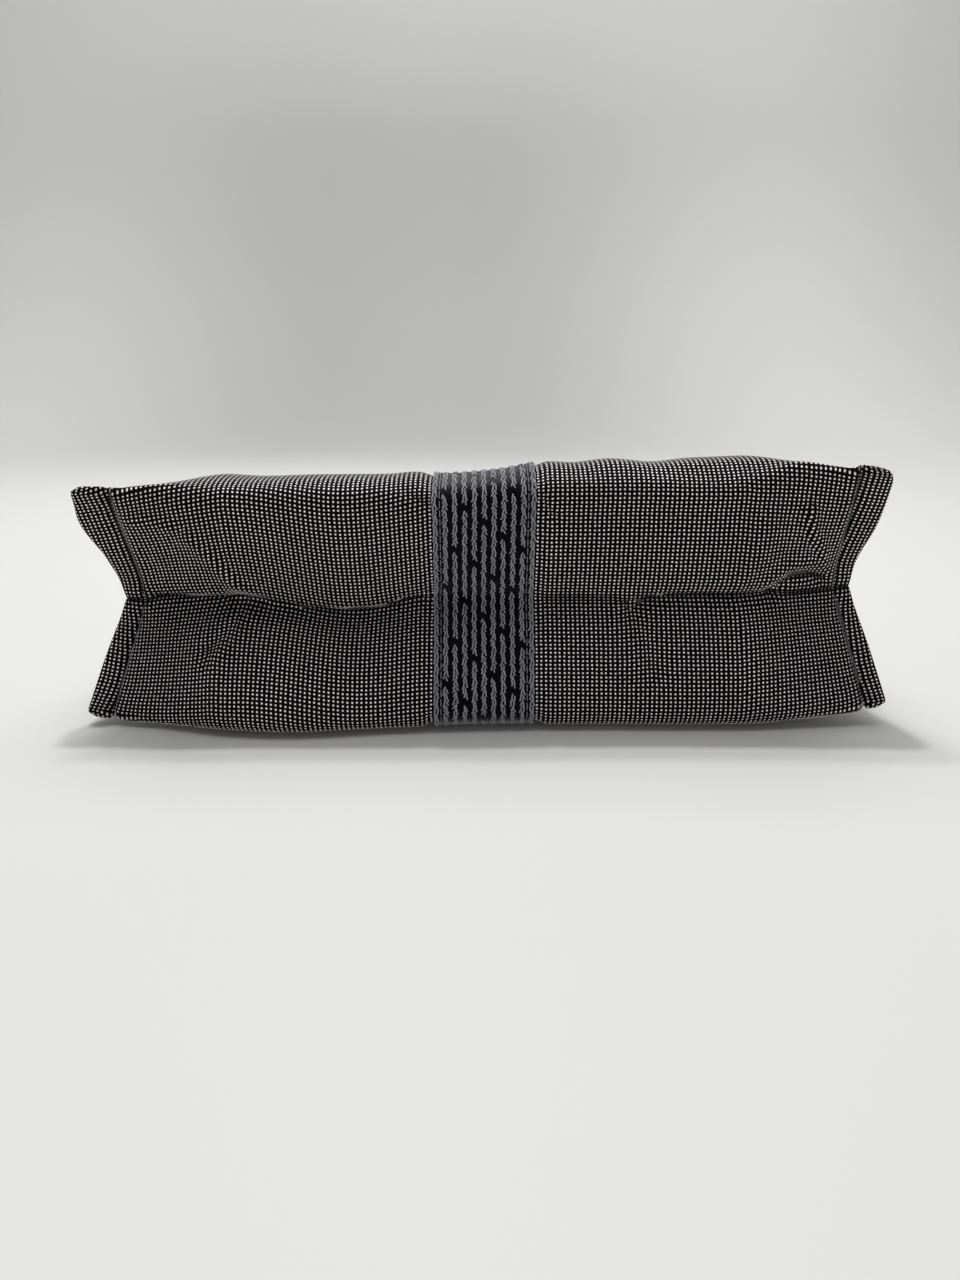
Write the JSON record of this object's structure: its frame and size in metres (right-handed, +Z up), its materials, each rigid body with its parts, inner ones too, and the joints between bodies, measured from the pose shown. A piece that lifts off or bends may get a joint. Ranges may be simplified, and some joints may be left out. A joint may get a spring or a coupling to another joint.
{
  "type": "zip pouch",
  "caption": "Flat zipped pouch of dotted canvas with a tucked-in base, outward side seams, a band of webbing round its middle and a zip with a sliding pull.",
  "frame": {"origin": "middle of the footprint on the floor, with the pouch lying on its back panel", "axes": "+X along the base and the zip, to the right when the base faces the viewer, +Y from the base to the zip, +Z up, from the back panel to the front panel"},
  "size_m": [0.3104, 0.1882, 0.1012],
  "materials": {
    "canvas": "near-black canvas with white woven dots, matte",
    "webbing": "navy-black woven webbing with grey ribs, matte",
    "lining": "plain black polyester",
    "tape": "black woven zip tape",
    "resin": "black moulded resin",
    "metal": "nickel plate, lightly brushed"
  },
  "bodies": {
    "pouch": {"canvas_body": "canvas", "webbing_band": "webbing", "lining": "lining", "zip_stringer_front": "tape", "zip_stringer_rear": "tape", "top_stop_front": "resin", "top_stop_rear": "resin", "bottom_stop": "resin"},
    "slider": {"slider_body": "metal", "slider_bail": "metal"},
    "pull": {"pull_tab": "metal"}
  },
  "joints": [
    {"name": "slider_slide", "type": "slide", "parent": "pouch", "child": "slider", "axis": [-1, 0, 0], "range_m": [0, 0.2415], "deforming": ["zip_stringer_front", "zip_stringer_rear"]},
    {"name": "pull_hinge", "type": "hinge", "parent": "slider", "child": "pull", "pos_m": [0.11911, 0.09166, 0.0135], "axis": [0, 0, -1], "range_deg": [0, 180]}
  ]
}
